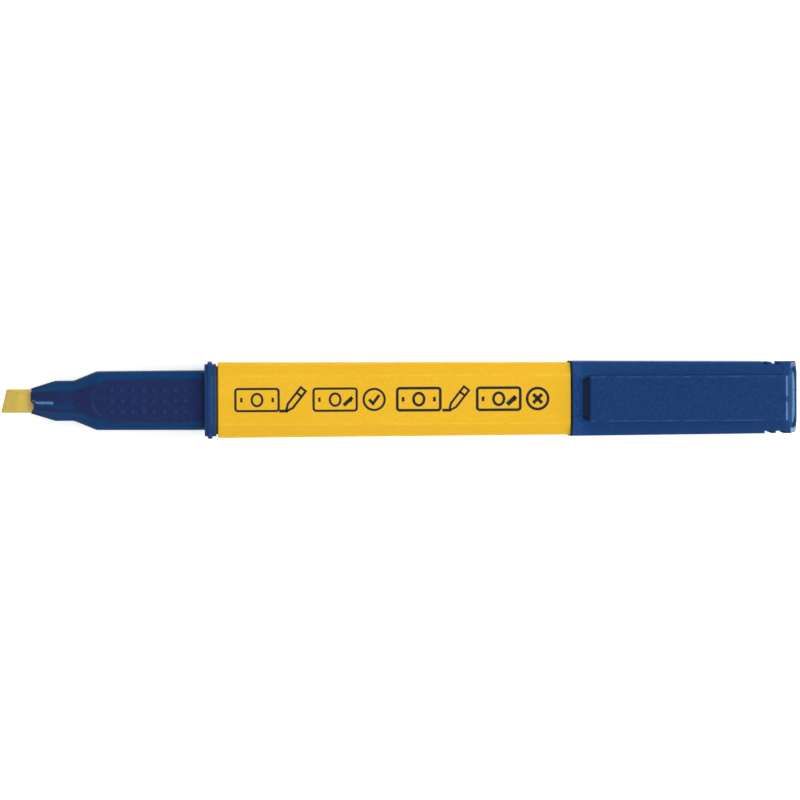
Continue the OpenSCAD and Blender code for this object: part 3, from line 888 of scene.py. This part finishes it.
def cap_shell():
    """Drafted cap tube with catch windows and the relief under the clip's tip, and its side lips."""
    mouth = shell_outline(shell_hi[1] - shell_lo[1], CAP_T)
    head = shell_outline(HEAD_W, CAP_T)[0]
    bore = chamfered(*CAP_BORE)[0]
    bow = 0.24 * np.clip((np.abs(mouth[0][:, 0]) - 4.4) / 2.4, 0, 1) ** 1.3
    rings = [ring(MOUTH_X, bore), *front_rim(MOUTH_X - bow, mouth, r=0.12, steps=4),
             ring(HEAD_X, head), ring(HEAD_X, bore)]
    cuts = [side_block(side, HEAD_X - start, HEAD_X + 1, middle=6.6, half_w=1.2, half_t=WINDOW_HALF)
            for side, start, _, _ in CATCHES]
    cuts.append(trapezoid(POCKET_X, POCKET_X + POCKET_L, 3.85, 4.6, CAP_TOP - 0.8, CAP_TOP + 1))
    tube = loft(rings, loop=True)
    make_piece("cap_shell_body", [tube], "cap", cap_material, ["cap_shell"], cuts)
    lips = [side_block(side, MOUTH_X - LIP_L, MOUTH_X + 0.2, middle=7.185, half_w=0.1, half_t=1.6, bevel=0.08)
            for side in (-1, 1)]
    make_piece("cap_mouth_lips", lips, "cap", cap_material)


def trapezoid(x0, x1, half0, half1, z0, z1):
    """(vertices, faces) of a block whose half-width grows from half0 at x0 to half1 at x1."""
    corners = [(x0, -half0), (x1, -half1), (x1, half1), (x0, half0)]
    vertices = np.array([(x, y, z + AXIS_Z) for z in (z0, z1) for x, y in corners])
    faces = [(3, 2, 1, 0), (4, 5, 6, 7), (0, 1, 5, 4), (1, 2, 6, 5), (2, 3, 7, 6), (3, 0, 4, 7)]
    return vertices, faces


cap_shell()


def face_x(points, back=0.0):
    """X on the leaning end face at these points, or a step behind it."""
    return END_X - (points[:, 1] + CAP_TOP) * math.tan(END_LEAN) - back / math.cos(END_LEAN)


def end_recess(outline):
    """Rings of the oval recess in the end face: its lip, its wall and its floor."""
    depth, lip, foot = 0.14, 0.04, 0.04
    rings = []
    for a in quarter(3):
        wider = 2 * lip * (1 - math.sin(a))
        edge = on_stadium(outline, OVAL_W + wider, OVAL_T + wider)
        rings.append(ring(face_x(edge, lip * (1 - math.cos(a))), edge))
    for a in quarter(3):
        narrower = 2 * foot * (1 - math.cos(a))
        edge = on_stadium(outline, OVAL_W - narrower, OVAL_T - narrower)
        rings.append(ring(face_x(edge, depth - foot * (1 - math.sin(a))), edge))
    for share in (0.6, 0.25):
        floor_edge = on_stadium(outline, OVAL_W * share, OVAL_T * share)
        rings.append(ring(face_x(floor_edge, depth), floor_edge))
    return rings


def cap_head():
    """The end plug's head: a leaning face with an oval recess, four vent holes and a notch on one side."""
    head = shell_outline(HEAD_W, CAP_T, 0.6, flats=(12, 8, 20))
    seam_gap, corner = 0.015, 0.22
    rings = [ring(HEAD_X + seam_gap, inset(head, seam_gap)), ring(HEAD_X + 2 * seam_gap, head[0])]
    for a in quarter(7):
        points = inset(head, corner * (1 - math.cos(a)))
        rings.append(ring(face_x(points, corner * (1 - math.sin(a))), points))
    rings += end_recess(points)
    cuts = [side_block(side, HEAD_X - 1, HEAD_X - step, middle=7.55, half_w=1, half_t=WINDOW_HALF)
            for side, _, _, step in CATCHES if step < 0]
    vent_pitch, vent_half = 0.95, 0.26
    for k in range(4):
        y = (k - 1.5) * vent_pitch
        cuts.append(block(END_X - 3.2, END_X, y - vent_half, y + vent_half, 0.1, 0.65, bevel=0.1, segments=2))
    make_piece("cap_head", [loft(rings)], "cap", plug_material, ["cap_end_plug"], cuts)


def head_catches():
    """The side catches: a sunk pad in each window, the catch on it, and the step of the head on one side."""
    half, rear_x = WINDOW_HALF - 0.12, HEAD_X + 0.3
    pads = []
    for side, start, catch, step in CATCHES:
        catch_x = HEAD_X - catch
        pads.append(side_block(side, HEAD_X - start + 0.1, rear_x, SUNK_Y, 0.42, half, bevel=0.1))
        pads.append(side_block(side, catch_x, catch_x + CATCH_L, CATCH_Y, 0.45, half, bevel=0.14))
        if step > 0:
            pads.append(side_block(side, HEAD_X - step, rear_x, CATCH_Y, 0.48, half, bevel=0.08))
    make_piece("cap_head_catches", pads, "cap", plug_material)


cap_head()
head_catches()

# ----- pocket clip

CLIP_TOP = clip_hi[2] - AXIS_Z
CLIP_T = 1.4
CLIP_BOTTOM = CLIP_TOP - CLIP_T
HINGE_X = HEAD_X - 1
ROOT_HALF = clip_hi[1] + 0.21


def arc_points(cx, cz, r, start, end, steps):
    """Points of an arc in side view, angles in degrees."""
    return [(cx + r * math.cos(math.radians(start + (end - start) * k / steps)),
             cz + r * math.sin(math.radians(start + (end - start) * k / steps))) for k in range(steps + 1)]


def pocket_clip():
    """The clip strip with its rounded nose and gripping bump; its root ends inside the raised block."""
    tip, root = clip_lo[0], HINGE_X + 1.1
    bump_bottom = clip_lo[2] - AXIS_Z
    profile = [(root, CLIP_BOTTOM), (root, CLIP_TOP - 0.4), (HINGE_X + 0.4, CLIP_TOP)]
    profile += [(tip + 0.5 + (HINGE_X - tip - 0.5) * k / 12, CLIP_TOP) for k in range(12, 0, -1)]
    profile += arc_points(tip + 0.5, CLIP_TOP - 0.5, 0.5, 90, 180, 6)
    profile += arc_points(tip + 0.36, bump_bottom + 0.36, 0.36, 180, 270, 4)
    profile += arc_points(tip + 0.64, bump_bottom + 0.36, 0.36, 270, 360, 5)
    profile += arc_points(tip + 1.4, CLIP_BOTTOM - 0.4, 0.4, 180, 90, 5)
    strip = slab_outline(profile, clip_hi[1] + 0.2, edge=0.35, steps=6)
    make_piece("pocket_clip_strip", [strip], "clip", clip_material, ["pocket_clip"], sharp=50)


def clip_root():
    """The raised block on the cap's head that the clip grows out of."""
    end, r, top = HEAD_X + 0.92, 0.8, CLIP_TOP + 0.012
    profile = [(HEAD_X + 0.05, CAP_TOP - 0.6), (HEAD_X + 0.05, CAP_TOP + 0.05)]
    profile += [(HINGE_X + 0.1, CAP_TOP + 0.05), (HINGE_X, CAP_TOP + 0.15), (HINGE_X, top - 0.12)]
    profile += arc_points(HINGE_X + 0.12, top - 0.12, 0.12, 180, 90, 3)[1:]
    profile += arc_points(end - r, top - r, r, 90, 0, 12)
    profile += [(end, CAP_TOP - 0.6)]
    root_block = slab_outline(profile, ROOT_HALF, edge=0.35, steps=6)
    make_piece("cap_head_root", [root_block], "cap", root_material, sharp=50)


pocket_clip()
clip_root()

# ----- carried-over CAD nodes

for node, material in (("tail_plug", tail_material), ("reservoir_core", core_material),
                       ("reservoir_wrap", film_material), ("inner_cap", inner_cap_material)):
    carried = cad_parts[node]
    carried.data.materials.clear()
    carried.data.materials.append(material)
    edges = carried.modifiers.new("edges", "BEVEL")
    edges.width = 0.1 * MM
    edges.segments = 2
    edges.limit_method = "ANGLE"
    edges.angle_limit = math.radians(40)
    edges.harden_normals = True

# ----- printed pictograms

INK_T = 0.02


def stroke(points, width, closed=False):
    """(vertices, faces) of a flat printed line through points (x, y)."""
    points = np.array(points, float)
    if closed:
        ahead, behind = np.roll(points, -1, 0), np.roll(points, 1, 0)
    else:
        ahead = np.vstack([points[1:], 2 * points[-1] - points[-2]])
        behind = np.vstack([2 * points[0] - points[1], points[:-1]])
    d1 = points - behind
    d2 = ahead - points
    d1 /= np.linalg.norm(d1, axis=1)[:, None]
    d2 /= np.linalg.norm(d2, axis=1)[:, None]
    n1 = np.column_stack([-d1[:, 1], d1[:, 0]])
    n2 = np.column_stack([-d2[:, 1], d2[:, 0]])
    mitre = n1 + n2
    mitre /= np.maximum(np.sum(mitre * n1, axis=1), 0.4)[:, None]
    left, right = points + mitre * width / 2, points - mitre * width / 2
    return ribbon(left, right, closed)


def ribbon(left, right, closed):
    """A thin solid strip between two rows of points on the barrel's top flat."""
    top = barrel_hi[2] - AXIS_Z
    count = len(left)
    vertices = []
    for row in (left, right):
        for lift in (-INK_T, INK_T):
            vertices += [(x, y, print_level(x, top) + lift + AXIS_Z) for x, y in row]
    faces = []
    last = count if closed else count - 1
    for i in range(last):
        j = (i + 1) % count
        low_l, top_l, low_r, top_r = 0, count, 2 * count, 3 * count
        faces += [(top_l + i, top_r + i, top_r + j, top_l + j), (low_l + j, low_r + j, low_r + i, low_l + i),
                  (low_l + i, top_l + i, top_l + j, low_l + j), (low_r + j, top_r + j, top_r + i, low_r + i)]
    if not closed:
        faces += [(0, 2 * count, 3 * count, count), (count - 1, 2 * count - 1, 4 * count - 1, 3 * count - 1)]
    return np.array(vertices), faces


def print_level(x, top):
    """Height of the barrel's top flat at x; the barrel thins slightly towards its tail."""
    return top - BARREL_DRAFT / 2 * (x - barrel_lo[0]) / (barrel_hi[0] - barrel_lo[0])


def rounded_rectangle(cx, cy, w, h, r, steps=5):
    """Corner-rounded rectangle as a closed list of points."""
    points = []
    for sx, sy, start in ((1, 1, 0), (-1, 1, 90), (-1, -1, 180), (1, -1, 270)):
        x, y = cx + sx * (w / 2 - r), cy + sy * (h / 2 - r)
        for k in range(steps + 1):
            a = math.radians(start + 90 * k / steps)
            points.append((x + r * math.cos(a), y + r * math.sin(a)))
    return points


def circle_points(cx, cy, r, steps=40, squash=1.0):
    """A circle or an ellipse as a closed list of points."""
    turns = [2 * math.pi * k / steps for k in range(steps)]
    return [(cx + r * math.cos(turn), cy + squash * r * math.sin(turn)) for turn in turns]


def banknote(cx, cy, w, h, line, marked):
    """A blank banknote with an oval and side dots; marked adds the bold stroke of the pen across it."""
    shapes = [stroke(rounded_rectangle(cx, cy, w, h, 0.5), line, closed=True),
              stroke(circle_points(cx, cy, h * 0.24, squash=1.15), line, closed=True)]
    for side in (-1, 1):
        x = cx + side * (w / 2 - 1.15)
        shapes.append(stroke([(x, cy - 0.45), (x, cy + 0.45)], line))
    if marked:
        shapes.append(stroke([(cx + w * 0.2, cy - h * 0.26), (cx + w * 0.4, cy + h * 0.1)], line * 1.6))
    return shapes


def pen_icon(cx, cy, length, line):
    """A small slanted marker pen that draws a stroke."""
    c, s = math.cos(math.radians(52)), math.sin(math.radians(52))

    def at(along, across):
        return cx + along * c - across * s, cy + along * s + across * c

    half = length / 2
    body = [at(-half + 1.1, -0.62), at(half, -0.62), at(half, 0.62), at(-half + 1.1, 0.62), at(-half, 0.12),
            at(-half, -0.12)]
    tip = at(-half, 0)
    return [stroke(body, line, closed=True), stroke([at(half - 1.3, -0.62), at(half - 1.3, 0.62)], line),
            stroke([(tip[0] - 1.5, tip[1] - 0.12), (tip[0] + 0.2, tip[1] - 0.12)], line * 1.3)]


def verdict(cx, cy, r, line, good):
    """A tick or a cross in a circle."""
    shapes = [stroke(circle_points(cx, cy, r), line, closed=True)]
    if good:
        shapes.append(stroke([(cx - r * 0.48, cy + r * 0.02), (cx - r * 0.12, cy - r * 0.4),
                              (cx + r * 0.5, cy + r * 0.42)], line * 1.25))
    else:
        d = r * 0.42
        shapes.append(stroke([(cx - d, cy - d), (cx + d, cy + d)], line * 1.25))
        shapes.append(stroke([(cx - d, cy + d), (cx + d, cy - d)], line * 1.25))
    return shapes


def printed_mark():
    """A row of wordless instructions, once in fine and once in bold lines: mark the note, read the result."""
    shapes = []
    x, y = barrel_lo[0] + 3.4, 0.1
    note_w, note_h, pen_l, ring_r = 8.4, 4.3, 5.2, 2.05
    fine, bold = (0.44, 0.44, 2.6, 4.2, True), (0.53, 0.424, 2.9, 4.3, False)
    for line, pen_line, before_pen, after_pen, good in (fine, bold):
        shapes += banknote(x + note_w / 2, y, note_w, note_h, line, False)
        x += note_w + before_pen
        shapes += pen_icon(x + 0.6, y, pen_l, pen_line)
        x += after_pen
        shapes += banknote(x + note_w / 2, y, note_w, note_h, line, True)
        x += note_w + 1.3
        shapes += verdict(x + 2.1, y, ring_r, line, good)
        x += 6.6
    make_piece("barrel_print", shapes, "pen", ink_material)


printed_mark()

# ----- floor, light and camera

FLOOR_GLOW = 0.42


def floor():
    """A plain pale floor under the pen."""
    look = Look("floor_paper", 0.9, 0.1)
    tone = look.remap(look.noise(400, 2), 0.3, 0.7)
    colour = look.mix(tone, (0.93, 0.93, 0.93), (0.95, 0.95, 0.95))
    look.feed(look.shader.inputs["Emission Color"], (1.0, 1.0, 1.0))
    look.shader.inputs["Emission Strength"].default_value = FLOOR_GLOW
    material = look.done(colour)
    mesh = bpy.data.meshes.new("floor")
    half = 3.0
    corners = [(-half, -half, 0), (half, -half, 0), (half, half, 0), (-half, half, 0)]
    mesh.from_pydata(corners, [], [(0, 1, 2, 3)])
    plane = bpy.data.objects.new("floor", mesh)
    plane.location.z = cad_box[0].z - 0.0002
    plane.data.materials.append(material)
    link(plane)


def studio_world():
    """A light tent, bright at the horizon and dim above, so that the broad faces keep their colour."""
    world = bpy.data.worlds.new("studio")
    bpy.context.scene.world = world
    world.use_nodes = True
    tree = world.node_tree
    background = tree.nodes["Background"]
    coordinates = tree.nodes.new("ShaderNodeTexCoord")
    split = tree.nodes.new("ShaderNodeSeparateXYZ")
    ramp = tree.nodes.new("ShaderNodeMapRange")
    for key, number in (("From Min", 0.02), ("From Max", 0.16), ("To Min", 0.5), ("To Max", 0.3)):
        ramp.inputs[key].default_value = number
    tree.links.new(coordinates.outputs["Generated"], split.inputs["Vector"])
    tree.links.new(split.outputs["Z"], ramp.inputs["Value"])
    tree.links.new(ramp.outputs["Result"], background.inputs["Color"])
    background.inputs["Strength"].default_value = 1.0


def area_light(name, place, size, energy, aim=(0, 0, 0), glossy=True):
    """A softbox at place, in metres, turned to aim. glossy is whether shiny surfaces reflect it."""
    light = bpy.data.lights.new(name, "AREA")
    light.shape = "RECTANGLE"
    light.size, light.size_y = size
    light.energy = energy
    lamp = bpy.data.objects.new(name, light)
    lamp.location = place
    lamp.rotation_mode = "QUATERNION"
    lamp.rotation_quaternion = (Vector(aim) - Vector(place)).to_track_quat("-Z", "Y")
    lamp.visible_glossy = glossy
    link(lamp)


def camera():
    """Above the nib side, leaning a little towards +Y and aimed at the pen's middle, with +X to the right."""
    view_width, height, turn = 0.1566, 0.9, math.radians(0.22)
    target = Vector((-0.00042, -0.0002, AXIS_Z * MM))
    place = Vector((-0.039, 0.031, height + AXIS_Z * MM))
    back = (place - target).normalized()
    right = Vector((0, 1, 0)).cross(back).normalized()
    data = bpy.data.cameras.new("camera")
    data.sensor_width = 36
    data.lens = data.sensor_width * (place - target).length / view_width
    data.clip_start, data.clip_end = 0.01, 10
    made = bpy.data.objects.new("camera", data)
    made.location = place
    made.rotation_mode = "QUATERNION"
    upright = Matrix((right, back.cross(right), back)).transposed()
    made.rotation_quaternion = (upright @ Matrix.Rotation(-turn, 3, "Z")).to_quaternion()
    link(made)
    bpy.context.scene.camera = made


floor()
studio_world()
area_light("key", (0.15, 0.5, 0.72), size=(1.2, 0.3), energy=3.75, glossy=False)
area_light("fill", (-0.1, -0.5, 0.72), size=(1.2, 0.3), energy=3.15, glossy=False)
area_light("right", (0.75, 0.02, 0.3), size=(0.5, 0.55), energy=6.0)
area_light("streak", (-0.67, -0.083, 0.64), size=(0.065, 0.15), energy=0.42, aim=(-0.07, 0, 0))
camera()
bpy.context.scene.view_settings.view_transform = "Standard"
